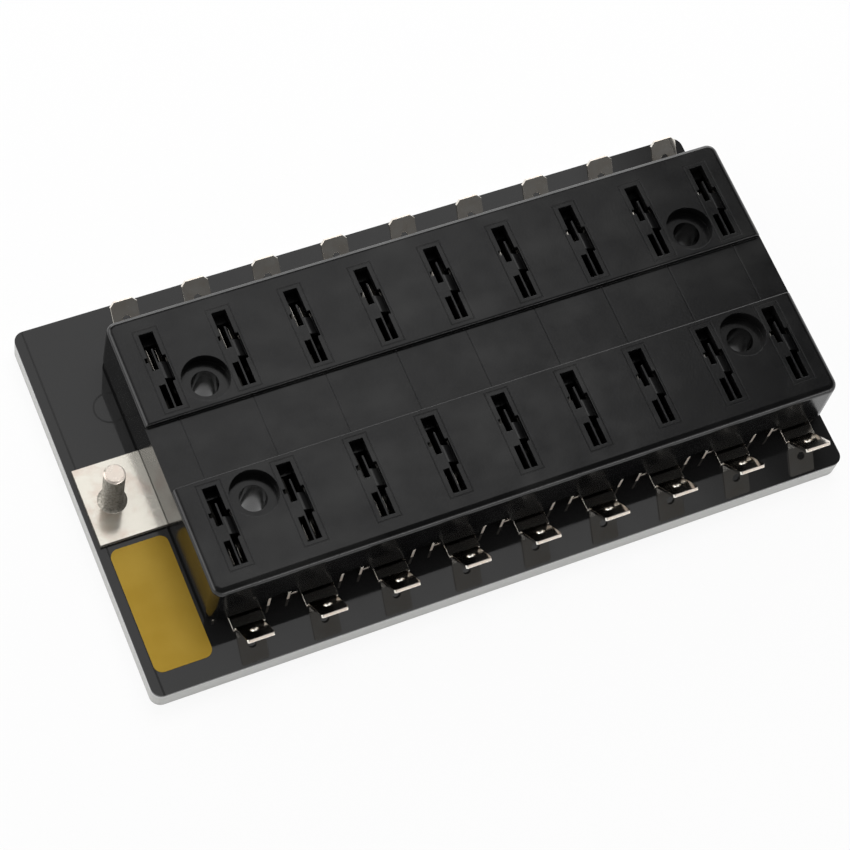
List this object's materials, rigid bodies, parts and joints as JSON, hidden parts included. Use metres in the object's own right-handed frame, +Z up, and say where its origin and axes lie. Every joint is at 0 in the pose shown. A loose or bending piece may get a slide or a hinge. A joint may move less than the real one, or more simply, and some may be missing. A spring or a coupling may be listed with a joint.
{
  "type": "fuse block",
  "caption": "Fuse block: black moulded housing with rows of blade-fuse windows on a flat board, raised push-on tabs along both sides and a threaded input stud on a plate at one end.",
  "frame": {"origin": "under the middle of the board, on its underside", "axes": "+X along the rows of fuses, away from the input stud, +Y towards the rear row, +Z up out of the fuse windows"},
  "size_m": [0.1682, 0.0912, 0.0221],
  "materials": {
    "board": "light grey insulating board, sawn edge",
    "deck": "high-gloss black sheet",
    "housing": "black moulded thermoplastic, semi-gloss",
    "bus_bar": "bright tin plate on a copper alloy",
    "bus_clips": "bright tin plate on spring brass",
    "terminals": "bright tin plate on spring brass",
    "stud": "zinc-plated threaded steel",
    "label": "yellow film label, left blank"
  },
  "bodies": {
    "root": {"base_board": "board", "deck_sheet": "deck", "housing": "housing", "bus_bar": "bus_bar", "input_stud": "stud", "label": "label", "bus_clip_1": "bus_clips", "bus_clip_2": "bus_clips", "bus_clip_3": "bus_clips", "bus_clip_4": "bus_clips", "bus_clip_5": "bus_clips", "bus_clip_6": "bus_clips", "bus_clip_7": "bus_clips", "bus_clip_8": "bus_clips", "bus_clip_9": "bus_clips", "output_terminal_rear_1": "terminals", "output_terminal_rear_2": "terminals", "output_terminal_rear_3": "terminals", "output_terminal_rear_4": "terminals", "output_terminal_rear_5": "terminals", "output_terminal_rear_6": "terminals", "output_terminal_rear_7": "terminals", "output_terminal_rear_8": "terminals", "output_terminal_rear_9": "terminals", "output_terminal_front_1": "terminals", "output_terminal_front_2": "terminals", "output_terminal_front_3": "terminals", "output_terminal_front_4": "terminals", "output_terminal_front_5": "terminals", "output_terminal_front_6": "terminals", "output_terminal_front_7": "terminals", "output_terminal_front_8": "terminals", "output_terminal_front_9": "terminals"}
  },
  "joints": []
}
